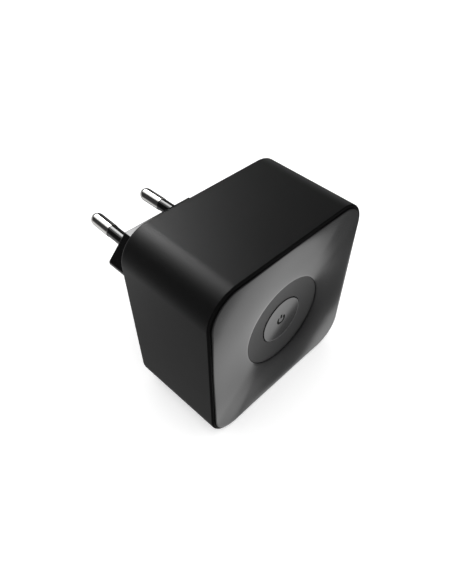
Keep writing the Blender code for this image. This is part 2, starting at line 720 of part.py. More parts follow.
def make_insulation_sheet():
    outline = rounded_square(SHEET_HALF, SHEET_CORNER_RADIUS)
    sheet = slab("insulation_sheet", outline, SHEET_Y - SHEET_THICKNESS, SHEET_Y, FISH_PAPER)
    notch = block("sheet_notch", (LINK_CENTRE_X, SHEET_Y, 0.0), LINK_NOTCH, FISH_PAPER)
    modify(sheet, "DIFFERENCE", notch)


def make_round_part(name, values, board_face):
    """A round part lying along Z against the power board."""
    radius, length, (x, z), finish = values
    half = length / 2
    profile = [
        (0.0, -half),
        (radius - ROUND_PART_RIM, -half),
        (radius, -half + ROUND_PART_RIM),
        (radius, half - ROUND_PART_RIM),
        (radius - ROUND_PART_RIM, half),
        (0.0, half),
    ]
    part = turned(name, profile, finish, 24)
    part.rotation_euler = (math.radians(90), 0.0, 0.0)
    part.location = (x, board_face - radius - STAND_OFF, z)


def make_transformer(board_face):
    centre = (TRANSFORMER_X, board_face - TRANSFORMER_Y, 0.0)
    winding = block("transformer_winding", centre, WINDING_SIZE, TAPE_YELLOW, WINDING_EDGE)
    winding.modifiers["soft_edges"].segments = 3
    core = block("transformer_core", centre, CORE_SIZE, FERRITE, CORE_EDGE)
    window = block("core_window", centre, CORE_WINDOW_SIZE, FERRITE)
    modify(core, "DIFFERENCE", window)


def make_varistor(board_face):
    profile = [
        (0.0, -VARISTOR_HALF),
        (VARISTOR_FACE_RADIUS, -VARISTOR_HALF),
        (VARISTOR_RADIUS, -VARISTOR_RIM_HALF),
        (VARISTOR_RADIUS, VARISTOR_RIM_HALF),
        (VARISTOR_FACE_RADIUS, VARISTOR_HALF),
        (0.0, VARISTOR_HALF),
    ]
    varistor = turned("varistor", profile, VARISTOR_BLUE, 28)
    x, z = VARISTOR_PLACE
    varistor.rotation_euler = (0.0, 0.0, math.radians(90))
    varistor.location = (x, board_face - VARISTOR_RADIUS - STAND_OFF, z)


def make_power_board():
    front = POWER_BOARD_Y - BOARD_THICKNESS
    outline = rounded_rectangle(POWER_BOARD_HALF_X, POWER_BOARD_HALF_Z, POWER_BOARD_RADIUS)
    slab("power_board", outline, front, POWER_BOARD_Y, BOARD_GREEN)
    board_face = front - GAP
    make_transformer(board_face)
    make_varistor(board_face)
    for name, values in ROUND_PARTS.items():
        make_round_part(name, values, board_face)
    x, z = RECTIFIER_PLACE
    centre = (x, board_face - RECTIFIER_SIZE[1] / 2 - STAND_OFF, z)
    block("rectifier", centre, RECTIFIER_SIZE, CHIP_BLACK, RECTIFIER_EDGE)


def main():
    clear_scene()
    make_casing()
    make_front_panel()
    make_light_ring()
    make_button_cap()
    make_front_carrier()
    make_rear_cover()
    make_cover_screws()
    make_plug_pins()
    make_terminals()
    make_logic_board()
    make_logic_parts()
    make_key_switch()
    make_board_link()
    make_insulation_sheet()
    make_power_board()


main()
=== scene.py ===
import json
import math
import bmesh
import bpy
from mathutils import Matrix, Vector


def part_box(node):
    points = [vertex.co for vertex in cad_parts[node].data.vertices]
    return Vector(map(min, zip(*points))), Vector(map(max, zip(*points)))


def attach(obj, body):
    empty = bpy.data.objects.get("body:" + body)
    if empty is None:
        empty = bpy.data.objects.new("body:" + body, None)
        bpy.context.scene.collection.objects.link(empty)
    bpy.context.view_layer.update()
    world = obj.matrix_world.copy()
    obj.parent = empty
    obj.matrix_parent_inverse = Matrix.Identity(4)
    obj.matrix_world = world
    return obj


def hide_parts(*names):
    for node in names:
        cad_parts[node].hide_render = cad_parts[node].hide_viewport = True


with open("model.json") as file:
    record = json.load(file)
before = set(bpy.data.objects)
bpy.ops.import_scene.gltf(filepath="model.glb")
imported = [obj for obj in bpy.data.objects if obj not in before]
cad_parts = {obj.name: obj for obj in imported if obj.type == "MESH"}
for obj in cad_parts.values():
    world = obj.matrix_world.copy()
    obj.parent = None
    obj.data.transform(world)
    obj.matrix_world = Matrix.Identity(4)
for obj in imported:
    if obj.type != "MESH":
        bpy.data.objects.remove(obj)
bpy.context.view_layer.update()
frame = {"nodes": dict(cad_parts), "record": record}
mm = 0.001
print("frame loaded:", len(frame["nodes"]), "nodes")

# places read from the frame
casingLow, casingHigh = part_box("casing")
casingHalf = casingHigh.x
frontY = casingLow.y  # plane of the casing's front rim
rearY = casingHigh.y  # plane of the casing's rear edge
floorZ = casingLow.z
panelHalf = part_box("front_panel")[1].x
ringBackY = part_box("light_ring")[1].y
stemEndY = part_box("button_cap")[1].y
cornerRadius = 8.2 * mm


def roundedSquare(half, radius, cornerSteps=20, sideSteps=12):
    # (x, z) points, anticlockwise from the middle of the right side
    flat = half - radius
    halfSide = sideSteps // 2
    quarter = [(half, flat * s / halfSide) for s in range(halfSide)]
    for s in range(cornerSteps):
        a = math.pi / 2 * s / cornerSteps
        quarter.append((flat + radius * math.cos(a), flat + radius * math.sin(a)))
    quarter += [(flat * (1 - s / halfSide), half) for s in range(halfSide)]
    points = []
    for turn in range(4):
        for x, z in quarter:
            for _ in range(turn):
                x, z = -z, x
            points.append((x, z))
    return points


def polygonOutline(corners, radius, cornerSteps=6):
    # (x, z) points of a polygon whose corners are rounded off
    points = []
    count = len(corners)
    for i in range(count):
        here = Vector(corners[i])
        before = (Vector(corners[i - 1]) - here).normalized()
        after = (Vector(corners[(i + 1) % count]) - here).normalized()
        halfAngle = before.angle(after) / 2
        middle = here + (before + after).normalized() * radius / math.sin(halfAngle)
        start = here + before * radius / math.tan(halfAngle) - middle
        end = here + after * radius / math.tan(halfAngle) - middle
        sweep = start.angle_signed(end)
        for s in range(cornerSteps + 1):
            p = start.copy()
            p.rotate(Matrix.Rotation(-sweep * s / cornerSteps, 2))
            points.append(tuple(middle + p))
    return points


def arcPoints(centre, radius, start, end, steps):
    # (u, v) points along an arc, angles in degrees
    points = []
    for s in range(steps + 1):
        a = math.radians(start + (end - start) * s / steps)
        points.append((centre[0] + radius * math.cos(a), centre[1] + radius * math.sin(a)))
    return points


def atY(outline, y):
    return [(x, y, z) for x, z in outline]


def loftMesh(loops, closed):
    # bridges loops with equally many points; closed joins the last loop to the first
    shape = bmesh.new()
    rows = [[shape.verts.new(p) for p in loop] for loop in loops]
    count = len(rows[0])
    pairs = list(zip(rows, rows[1:] + rows[:1])) if closed else list(zip(rows, rows[1:]))
    for first, second in pairs:
        for i in range(count):
            j = (i + 1) % count
            shape.faces.new((first[i], first[j], second[j], second[i]))
    if not closed:
        shape.faces.new(rows[0])
        shape.faces.new(rows[-1][::-1])
    return shape


def turnedMesh(profile, steps=96):
    # spins (radius, y) about the Y axis; radius 0 at both ends makes a solid, else a ring
    shape = bmesh.new()
    angles = [2 * math.pi * s / steps for s in range(steps)]
    rows = []
    for radius, y in profile:
        if radius == 0:
            rows.append([shape.verts.new((0, y, 0))])
            continue
        circle = [(radius * math.cos(a), y, radius * math.sin(a)) for a in angles]
        rows.append([shape.verts.new(p) for p in circle])
    pairs = list(zip(rows, rows[1:]))
    if len(rows[0]) > 1:
        pairs.append((rows[-1], rows[0]))
    for first, second in pairs:
        for i in range(steps):
            j = (i + 1) % steps
            corners = [
                first[i % len(first)],
                first[j % len(first)],
                second[j % len(second)],
                second[i % len(second)],
            ]
            shape.faces.new(list(dict.fromkeys(corners)))
    return shape


def shadeSmooth(mesh, angle):
    # smooth, with sharp edges where faces meet at more than the angle in degrees
    mesh.shade_smooth()
    mesh.set_sharp_from_angle(angle=math.radians(angle))


def keepFlatsFlat(piece, weight=100):
    normals = piece.modifiers.new("flatFaces", "WEIGHTED_NORMAL")
    normals.keep_sharp = True
    normals.weight = weight


def addPiece(name, shape, materials, smoothAngle=35, weighted=False):
    bmesh.ops.recalc_face_normals(shape, faces=shape.faces)
    mesh = bpy.data.meshes.new(name)
    shape.to_mesh(mesh)
    shape.free()
    shadeSmooth(mesh, smoothAngle)
    piece = bpy.data.objects.new(name, mesh)
    bpy.context.scene.collection.objects.link(piece)
    for material in materials:
        mesh.materials.append(material)
    if weighted:
        keepFlatsFlat(piece)
    return piece


def settle(piece, body, slotName, *nodes):
    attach(piece, body)
    if nodes:
        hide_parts(*nodes)
    return piece


def cutWith(piece, tools, smoothAngle):
    # subtracts the tool objects, applies the cuts and removes the tools
    for tool in tools:
        cut = piece.modifiers.new("cut", "BOOLEAN")
        cut.object = tool
        cut.operation = "DIFFERENCE"
        cut.solver = "EXACT"
    bpy.context.view_layer.update()
    graph = bpy.context.evaluated_depsgraph_get()
    done = bpy.data.meshes.new_from_object(piece.evaluated_get(graph))
    piece.modifiers.clear()
    piece.data = done
    for tool in tools:
        bpy.data.objects.remove(tool)
    shadeSmooth(piece.data, smoothAngle)


def newGroup(name, inputs, outputs):
    # inputs are (name, default) pairs and outputs are names of plain numbers
    group = bpy.data.node_groups.new(name, "ShaderNodeTree")
    for label, default in inputs:
        kind = "NodeSocketVector" if isinstance(default, tuple) else "NodeSocketFloat"
        socket = group.interface.new_socket(label, in_out="INPUT", socket_type=kind)
        socket.default_value = default
    for label in outputs:
        group.interface.new_socket(label, in_out="OUTPUT", socket_type="NodeSocketFloat")
    return group, group.nodes.new("NodeGroupInput"), group.nodes.new("NodeGroupOutput")


def addNode(tree, kind, inputs=None, **settings):
    node = tree.nodes.new(kind)
    for key, value in settings.items():
        setattr(node, key, value)
    for key, value in (inputs or {}).items():
        if isinstance(value, bpy.types.NodeSocket):
            tree.links.new(value, node.inputs[key])
        else:
            node.inputs[key].default_value = value
    return node


def addGroup(tree, group, inputs):
    return addNode(tree, "ShaderNodeGroup", inputs, node_tree=group)


def addMath(tree, operation, *values):
    return addNode(tree, "ShaderNodeMath", dict(enumerate(values)), operation=operation).outputs[0]


def addColourMix(tree, factor, first, second):
    inputs = {"Factor": factor, 6: (*first, 1), 7: (*second, 1)}
    return addNode(tree, "ShaderNodeMix", inputs, data_type="RGBA").outputs[2]


def addNoise(tree, where, scale, detail, roughness=0.5):
    inputs = {"Vector": where, "Scale": scale, "Detail": detail, "Roughness": roughness}
    return addNode(tree, "ShaderNodeTexNoise", inputs).outputs["Fac"]


def objectPlace(tree):
    return addNode(tree, "ShaderNodeTexCoord").outputs["Object"]


def mouldGrainGroup():
    # spark-eroded mould grain: a fine height and a slow drift in gloss
    group, inside, out = newGroup(
        "mouldGrain",
        [
            ("Grain Size", 0.08),
            ("Drift Size", 9.0),
            ("Drift", 0.04),
            ("Base Roughness", 0.4),
            ("Tint Low", 0.8),
        ],
        ["Height", "Roughness", "Tint"],
    )
    given = inside.outputs
    where = objectPlace(group)
    fineScale = addMath(group, "DIVIDE", 1.0 / mm, given["Grain Size"])
    slowScale = addMath(group, "DIVIDE", 1.0 / mm, given["Drift Size"])
    fine = addNoise(group, where, fineScale, 2.0)
    slow = addNoise(group, where, slowScale, 3.0)
    centred = addMath(group, "SUBTRACT", slow, 0.5)
    drifted = addMath(group, "MULTIPLY_ADD", centred, given["Drift"], given["Base Roughness"])
    tintInputs = {"Value": fine, "To Min": given["Tint Low"], "To Max": 1.0}
    tint = addNode(group, "ShaderNodeMapRange", tintInputs)
    group.links.new(fine, out.inputs["Height"])
    group.links.new(drifted, out.inputs["Roughness"])
    group.links.new(tint.outputs[0], out.inputs["Tint"])
    return group


mouldGrain = mouldGrainGroup()


def startMaterial(name, metallic=0.0, ior=1.5):
    material = bpy.data.materials.new(name)
    material.use_nodes = True
    tree = material.node_tree
    shader = tree.nodes["Principled BSDF"]
    shader.inputs["Metallic"].default_value = metallic
    shader.inputs["IOR"].default_value = ior
    return material, tree, shader


def bumpFrom(tree, shader, height, distance):
    bump = addNode(tree, "ShaderNodeBump", {"Height": height, "Distance": distance})
    tree.links.new(bump.outputs[0], shader.inputs["Normal"])


def mouldedPlastic(
    name, colour, roughness, grainSize, grainDepth, tintLow=0.8, drift=0.04, specular=0.5
):
    # a moulding: grained skin, slightly uneven gloss and colour
    material, tree, shader = startMaterial(name)
    shader.inputs["Specular IOR Level"].default_value = specular
    grainInputs = {
        "Grain Size": grainSize,
        "Base Roughness": roughness,
        "Drift": drift,
        "Tint Low": tintLow,
    }
    grain = addGroup(tree, mouldGrain, grainInputs)
    shaded = [c * 0.7 for c in colour]
    mixed = addColourMix(tree, grain.outputs["Tint"], shaded, colour)
    tree.links.new(mixed, shader.inputs["Base Color"])
    tree.links.new(grain.outputs["Roughness"], shader.inputs["Roughness"])
    bumpFrom(tree, shader, grain.outputs["Height"], grainDepth)
    return material


def glossPanelPlastic(name, v):
    # a polished moulding whose gloss is dulled a little by long faint wipe marks
    material, tree, shader = startMaterial(name, ior=v["ior"])
    shader.inputs["Base Color"].default_value = (*v["colour"], 1)
    stretch = {"Vector": objectPlace(tree), "Rotation": v["wipeTurn"], "Scale": v["wipeStretch"]}
    stretched = addNode(tree, "ShaderNodeMapping", stretch)
    smear = addNoise(tree, stretched.outputs[0], v["wipeScale"], 4.0, 0.6)
    softInputs = {"Value": smear, "From Min": v["wipeLow"], "From Max": v["wipeHigh"]}
    soft = addNode(tree, "ShaderNodeMapRange", softInputs, interpolation_type="SMOOTHSTEP")
    rough = addMath(tree, "MULTIPLY_ADD", soft.outputs[0], v["smear"], v["roughness"])
    tree.links.new(rough, shader.inputs["Roughness"])
    return material


def platedMetal(name, colour, roughness, scratch):
    # plated metal with fine lengthwise drawing lines
    material, tree, shader = startMaterial(name, metallic=1.0)
    drawnInputs = {"Vector": objectPlace(tree), "Scale": (1.0, 0.05, 1.0)}
    drawn = addNode(tree, "ShaderNodeMapping", drawnInputs)
    lines = addNoise(tree, drawn.outputs[0], 6.0 / mm, 3.0)
    roughInputs = {"Value": lines, "To Min": roughness * 0.7, "To Max": roughness * 1.5}
    rough = addNode(tree, "ShaderNodeMapRange", roughInputs)
    tint = addColourMix(tree, lines, [c * 0.86 for c in colour], colour)
    tree.links.new(tint, shader.inputs["Base Color"])
    tree.links.new(rough.outputs[0], shader.inputs["Roughness"])
    bumpFrom(tree, shader, lines, scratch)
    return material


# colour, roughness, grain size in millimetres, grain depth, lowest tint, drift of the gloss, specular
plasticValues = {
    "casingPlastic": ((0.004, 0.004, 0.0042), 0.40, 0.12, 0.004 * mm, 0.8, 0.04, 0.25),
    # the rim copy of the casing plastic is darker and nearly without specular: painted shade for the
    # dark band along the front edges
    "rimPlasticPaintedShade": ((0.003, 0.003, 0.0031), 0.45, 0.12, 0.004 * mm, 0.8, 0.04, 0.05),
    "ringPlastic": ((0.010, 0.010, 0.0103), 0.42, 0.10, 0.003 * mm, 0.8, 0.04, 0.33),
    "sleevePlastic": ((0.003, 0.003, 0.003), 0.08, 0.20, 0.0003 * mm, 0.8, 0.02, 0.5),
    "bossPlastic": ((0.003, 0.003, 0.0031), 0.12, 0.20, 0.0005 * mm, 0.8, 0.02, 0.5),
    "markPaint": ((0.0015, 0.0015, 0.0015), 0.6, 0.08, 0.004 * mm, 0.8, 0.04, 0.1),
}
panelFinishValues = {
    "colour": (0.007, 0.007, 0.0073),
    "roughness": 0.08,
    "ior": 1.53,
    "smear": 0.02,  # roughness added where a wipe mark is
    "wipeTurn": (0.0, 0.6, 0.0),
    "wipeStretch": (1.0, 1.0, 0.22),
    "wipeScale": 0.16 / mm,
    "wipeLow": 0.42,
    "wipeHigh": 0.75,
}
# colour, roughness, depth of the drawing lines
metalValues = {
    "pinPlating": ((0.66, 0.65, 0.63), 0.10, 0.0002 * mm),
    "screwSteel": ((0.16, 0.16, 0.165), 0.30, 0.001 * mm),
}
finish = {name: mouldedPlastic(name, *values) for name, values in plasticValues.items()}
finish |= {name: platedMetal(name, *values) for name, values in metalValues.items()}
finish["panelPlastic"] = glossPanelPlastic("panelPlastic", panelFinishValues)
print("visible materials ready")


casingValues = {
    "wall": 2.2 * mm,
    "frontFillet": 0.5 * mm,
    "frontSteps": 8,
    "rearFillet": 0.6 * mm,
    "rearSteps": 5,
    "rimWidth": 0.10 * mm,
    "lipEdge": 0.03 * mm,
    "gapDepth": 1.2 * mm,
    "coverSeat": 1.3 * mm,
    "coverSeatDepth": 2.3 * mm,
    "seatEdge": 0.1 * mm,
}


def makeCasing(v):
    rear, front = v["rearFillet"], v["frontFillet"]
    # (inset from the outer wall, y), once round the section of the wall
    stations = arcPoints((rear, rearY - rear), rear, 90, 180, v["rearSteps"])
    stations += arcPoints((front, frontY + front), front, 180, 270, v["frontSteps"])
    lip = front + v["rimWidth"]
    seatY = rearY - v["coverSeatDepth"]
    stations += [
        (lip, frontY),
        (lip + v["lipEdge"], frontY + v["lipEdge"]),
        (lip + v["lipEdge"], frontY + v["gapDepth"]),
        (v["wall"], frontY + v["gapDepth"]),
        (v["wall"], seatY),
        (v["coverSeat"], seatY),
        (v["coverSeat"], rearY - v["seatEdge"]),
        (v["coverSeat"] - v["seatEdge"], rearY),
    ]
    loops = []
    for inset, y in stations:
        loops.append(atY(roundedSquare(casingHalf - inset, cornerRadius - inset), y))
    shape = loftMesh(loops, closed=True)
    # the front fillet and lip take the darker, unreflective rim material: painted shade along the
    # casing's front edge
    for face in shape.faces:
        if face.calc_center_median().y < frontY + front:
            face.material_index = 1
    materials = [finish["casingPlastic"], finish["rimPlasticPaintedShade"]]
    casing = addPiece("casingShell", shape, materials, 40, weighted=True)
    return settle(casing, "housing", "casing_plastic", "casing")


panelValues = {
    "thickness": 1.35 * mm,
    "ringRadius": 12.75 * mm,
    "centreDepth": 1.67 * mm,
    "ringDepth": 0.92 * mm,
    "proud": 0.16 * mm,
    "wave": 0.10 * mm,
    "edgeFillet": 0.18 * mm,
    "edgeSteps": 5,
    "holeFillet": 0.06 * mm,
    "holeSteps": 4,
    "edgeSlope": 0.53,
    "sideSwell": 0.52,
    "cornerSteps": 24,
    "sideSteps": 28,
    "rows": 30,
    "firstRow": 0.012,  # share of the way out where the rows start
    "backRows": (0.75, 0.5, 0.25, 0),
}


def dishDepth(radius):
    v = panelValues
    return v["centreDepth"] - (v["centreDepth"] - v["ringDepth"]) * (radius / v["ringRadius"]) ** 2


def panelDepth(share, length, angle):
    # depth along a ray from the ring (share 0) to the panel's edge (share 1)
    v = panelValues
    edgeDepth = -v["proud"] + v["wave"] * math.cos(4 * angle)
    drop = v["ringDepth"] - edgeDepth
    ringSlope = 2 * (v["centreDepth"] - v["ringDepth"]) / v["ringRadius"] * length / drop
    rise = ringSlope * (share**3 - 2 * share**2 + share)
    rise += 3 * share**2 - 2 * share**3
    rise += v["edgeSlope"] * (share**3 - share**2)
    rise -= v["sideSwell"] * (1 + math.cos(4 * angle)) * (share * (1 - share)) ** 2
    return v["ringDepth"] - drop * rise


def makeFrontPanel(v):
    corner = cornerRadius - (casingHalf - panelHalf)
    outline = roundedSquare(panelHalf, corner, v["cornerSteps"], v["sideSteps"])
    inner, edge, hole = v["ringRadius"], v["edgeFillet"], v["holeFillet"]
    rays = [(math.atan2(z, x), math.hypot(x, z)) for x, z in outline]

    def loopAt(radii, drop):
        loop = []
        for (angle, reach), radius in zip(rays, radii):
            share = min(1, (radius - inner) / (reach - inner))
            y = frontY + panelDepth(share, reach - inner, angle) + drop
            loop.append((radius * math.cos(angle), y, radius * math.sin(angle)))
        return loop

    def frontLoop(share, inset, drop):
        return loopAt([inner + (reach - inset - inner) * share for _, reach in rays], drop)

    loops = []
    for u, w in arcPoints((hole, hole), hole, 180, 270, v["holeSteps"]):
        loops.append(loopAt([inner + u] * len(rays), w))
    for row in range(1, v["rows"]):
        share = v["firstRow"] + (1 - v["firstRow"]) * row / v["rows"]
        loops.append(frontLoop(share, edge, 0))
    edgeRows = range(len(loops), len(loops) + v["edgeSteps"] + 1)
    for u, w in arcPoints((0, edge), edge, 270, 360, v["edgeSteps"]):
        loops.append(frontLoop(1, edge - u, w))
    loops.append([(x, y + v["thickness"] - edge, z) for x, y, z in loops[-1]])
    for share in v["backRows"]:
        loops.append([(x, y + v["thickness"], z) for x, y, z in frontLoop(share, edge, 0)])
    shape = loftMesh(loops, closed=True)
    shape.faces.index_update()
    # the panel's edge fillet takes the darker, unreflective rim material: painted shade along the
    # panel's edge
    for face in shape.faces:
        if face.index // len(outline) in edgeRows:
            face.material_index = 1
    materials = [finish["panelPlastic"], finish["rimPlasticPaintedShade"]]
    panel = addPiece("dishedPanel", shape, materials, 50)
    return settle(panel, "housing", "panel_gloss", "front_panel")


ringValues = {
    "gap": 0.07 * mm,
    "sunk": 0.13 * mm,
    "edge": 0.05 * mm,
    "flange": 0.8 * mm,
    "flangeReach": 1.2 * mm,
    "rows": 24,
    "spins": 144,
}
buttonValues = {
    "radius": 6.53 * mm,
    "gap": 0.16 * mm,
    "edge": 0.08 * mm,
    "edgeSteps": 4,
    "markRadius": 1.5 * mm,
    "markStroke": 0.68 * mm,
    "markDepth": 0.16 * mm,
    "markOpening": 38.0,  # degrees either side of the top
    "markWall": 0.07 * mm,
    "markReach": 1.3,  # reach of the fine rows, of the sign's radius
    "barMiddle": 0.72,  # middle and half length of the bar, of the sign's radius
    "barHalf": 0.46,
    "markRows": 44,
    "rows": 22,
    "flangeGap": 0.3 * mm,
    "flange": 0.65 * mm,
    "flangeReach": 1.5 * mm,
    "stemRadius": 1.4 * mm,
    "spins": 168,
}


def makeLightRing(v):
    outer = panelValues["ringRadius"] - v["gap"]
    inner = buttonValues["radius"] + buttonValues["gap"]
    edge = v["edge"]
    profile = []
    for row in range(v["rows"] + 1):
        radius = inner + edge + (outer - inner - 2 * edge) * row / v["rows"]
        profile.append((radius, frontY + dishDepth(radius) + v["sunk"]))
    outerY = frontY + dishDepth(outer) + v["sunk"]
    innerY = frontY + dishDepth(inner) + v["sunk"]
    flangeY = ringBackY - v["flange"]
    flangeRadius = outer + v["flangeReach"]
    profile += [(outer, outerY + edge), (outer, flangeY), (flangeRadius, flangeY)]
    profile += [(flangeRadius, ringBackY), (inner, ringBackY), (inner, innerY + edge)]
    ring = addPiece("statusRing", turnedMesh(profile, v["spins"]), [finish["ringPlastic"]], 40)
    return settle(ring, "housing", "smoked_ring", "light_ring")


def smoothStep(low, high, value):
    t = min(1.0, max(0.0, (value - low) / (high - low)))
    return t * t * (3 - 2 * t)


def markCover(x, z):
    # 1 inside the power sign, 0 outside, with a soft wall between
    v = buttonValues
    halfStroke = v["markStroke"] / 2
    middle = v["markRadius"] - halfStroke
    ringDistance = abs(math.hypot(x, z) - middle) - halfStroke
    openingDistance = (math.radians(v["markOpening"]) - abs(math.atan2(x, z))) * middle
    ringDistance = max(ringDistance, openingDistance)
    barLength = abs(z - v["markRadius"] * v["barMiddle"]) - v["markRadius"] * v["barHalf"]
    barDistance = max(abs(x) - halfStroke, barLength)
    halfWall = v["markWall"] / 2
    return 1 - smoothStep(-halfWall, halfWall, min(ringDistance, barDistance))


def makeButtonCap(v):
    markReach = v["markRadius"] * v["markReach"]
    radii = [markReach * row / v["markRows"] for row in range(v["markRows"] + 1)]
    rest = v["radius"] - v["edge"] - markReach
    radii += [markReach + rest * row / v["rows"] for row in range(1, v["rows"] + 1)]
    profile = [(r, frontY + dishDepth(r)) for r in radii]
    edgeY = frontY + dishDepth(v["radius"])
    edgeMiddle = (v["radius"] - v["edge"], edgeY + v["edge"])
    profile += arcPoints(edgeMiddle, v["edge"], 270, 360, v["edgeSteps"])[1:]
    flangeY = ringBackY + v["flangeGap"]
    flangeRadius = v["radius"] + v["flangeReach"]
    profile += [
        (v["radius"], flangeY),
        (flangeRadius, flangeY),
        (flangeRadius, flangeY + v["flange"]),
        (v["stemRadius"], flangeY + v["flange"]),
        (v["stemRadius"], stemEndY),
        (0, stemEndY),
    ]
    shape = turnedMesh(profile, v["spins"])
    for vert in shape.verts:
        x, y, z = vert.co
        if y < edgeY + v["edge"] and math.hypot(x, z) < markReach:
            vert.co.y += v["markDepth"] * markCover(x, z)
    for face in shape.faces:
        middle = face.calc_center_median()
        if middle.y < flangeY and markCover(middle.x, middle.z) > 0.5:
            face.material_index = 1
    cap = addPiece("pushButton", shape, [finish["panelPlastic"], finish["markPaint"]], 50)
    return settle(cap, "button", "panel_gloss", "button_cap")


coverValues = {
    "gap": 0.12 * mm,
    "thickness": 2.0 * mm,
    "edge": 0.15 * mm,
    "screwReach": 18.6 * mm,
    "screwHead": 2.1 * mm,
    "seatDepth": 1.2 * mm,
    "seatPlay": 0.25 * mm,
    "seatEdge": 0.12 * mm,
    "holeRadius": 1.1 * mm,
    "holeDepth": 5 * mm,
    "labelSize": (26.0 * mm, 7.0 * mm),
    "labelCorner": 0.8 * mm,
    "labelZ": -14.5 * mm,
    "labelDepth": 0.2 * mm,
    "toolRise": 1 * mm,  # how far the cutting tools stand out of the plate
}


def makeRearCover(v):
    inset = casingValues["coverSeat"] + v["gap"]
    half, radius = casingHalf - inset, cornerRadius - inset
    stations = [(0.0, rearY - v["thickness"]), (0.0, rearY - v["edge"])]
    stations += arcPoints((v["edge"], rearY - v["edge"]), v["edge"], 180, 90, 3)[1:]
    loops = [atY(roundedSquare(half - inset, radius - inset), y) for inset, y in stations]
    plastic = [finish["casingPlastic"]]
    cover = addPiece("backPlate", loftMesh(loops, closed=False), plastic)

    holeY, seatY, topY = rearY - v["holeDepth"], rearY - v["seatDepth"], rearY + v["toolRise"]
    narrow, wide = v["holeRadius"], v["screwHead"] + v["seatPlay"]
    mouth = wide + v["seatEdge"]
    profile = [(0, holeY), (narrow, holeY), (narrow, seatY), (wide, seatY)]
    profile += [(wide, rearY - v["seatEdge"]), (mouth, rearY + 0.001 * mm)]
    profile += [(mouth, topY), (0, topY)]
    tools = []
    for x in (-v["screwReach"], v["screwReach"]):
        for z in (-v["screwReach"], v["screwReach"]):
            tool = addPiece("seatTool", turnedMesh(profile, 48), plastic)
            tool.location = (x, 0, z)
            tools.append(tool)

    right, top = v["labelSize"][0] / 2, v["labelSize"][1] / 2
    corners = [(right, -top), (right, top), (-right, top), (-right, -top)]
    outline = [(x, z + v["labelZ"]) for x, z in polygonOutline(corners, v["labelCorner"])]
    label = loftMesh([atY(outline, rearY - v["labelDepth"]), atY(outline, topY)], closed=False)
    tools.append(addPiece("labelTool", label, plastic))
    cutWith(cover, tools, 35)
    keepFlatsFlat(cover, 50)
    return settle(cover, "housing", "casing_plastic", "rear_cover")


bossValues = {
    "width": 35.3 * mm,
    "height": 13.7 * mm,
    "blunt": 0.45 * mm,
    "cornerRadius": 0.5 * mm,
    "leastCorner": 0.2 * mm,
    "cornerShrink": 0.3,  # how much of the inset the corners lose
    "endFillet": 0.3 * mm,
    "footFlare": 0.5 * mm,
    "root": 0.8 * mm,
    "steps": 5,
}


def bossCorners(inset):
    v = bossValues
    top = v["height"] / 2 - inset
    side = v["width"] / 2 - inset
    blunt = v["blunt"]
    flat = side + blunt - top
    upper = [(side, blunt), (flat, top), (-flat, top), (-side, blunt)]
    return [(side, -blunt)] + upper + [(-side, -blunt), (-flat, -top), (flat, -top)]


def makePlugBoss(v):
    flare, fillet, steps = v["footFlare"], v["endFillet"], v["steps"]
    stations = [(-flare, rearY - v["root"])]
    stations += arcPoints((-flare, rearY + flare), flare, -90, 0, steps)
    stations += arcPoints((fillet, -fillet), fillet, 180, 90, steps)
    loops = []
    for inset, y in stations:
        radius = max(v["leastCorner"], v["cornerRadius"] - inset * v["cornerShrink"])
        loops.append(atY(polygonOutline(bossCorners(inset), radius, steps), y))
    shape = loftMesh(loops, closed=False)
    boss = addPiece("plugBoss", shape, [finish["bossPlastic"]], 40, weighted=True)
    return settle(boss, "housing", "casing_plastic")


pinValues = {
    "radius": 2.0 * mm,
    "length": 19.0 * mm,
    "baseSpacing": 18.6 * mm,
    "tipSpacing": 17.7 * mm,
    "rootRadius": 1.2 * mm,
    "rootLength": 3 * mm,
    "edge": 0.12 * mm,
    "gap": 0.02 * mm,  # between the bare metal and the end of the sleeve
    "tipSteps": 18,
    "sleeveLength": 10.0 * mm,
    "sleeveRadius": 1.88 * mm,
    "sleeveBore": 1.3 * mm,
    "sleeveRoot": 1.5 * mm,
    "sleeveEdge": 0.08 * mm,
    "collarRadius": 2.2 * mm,
    "collarHeight": 0.4 * mm,
    "collarEdge": 0.15 * mm,
    "collarFoot": (0.05 * mm, 0.15 * mm),  # foot of the collar, outwards and along
    "spins": 96,
}


def placeOnPin(piece, side):
    v = pinValues
    lean = math.atan2((v["baseSpacing"] - v["tipSpacing"]) / 2, v["length"])
    base = Matrix.Translation((side * v["baseSpacing"] / 2, 0, 0))
    piece.data.transform(base @ Matrix.Rotation(side * lean, 4, "Z"))


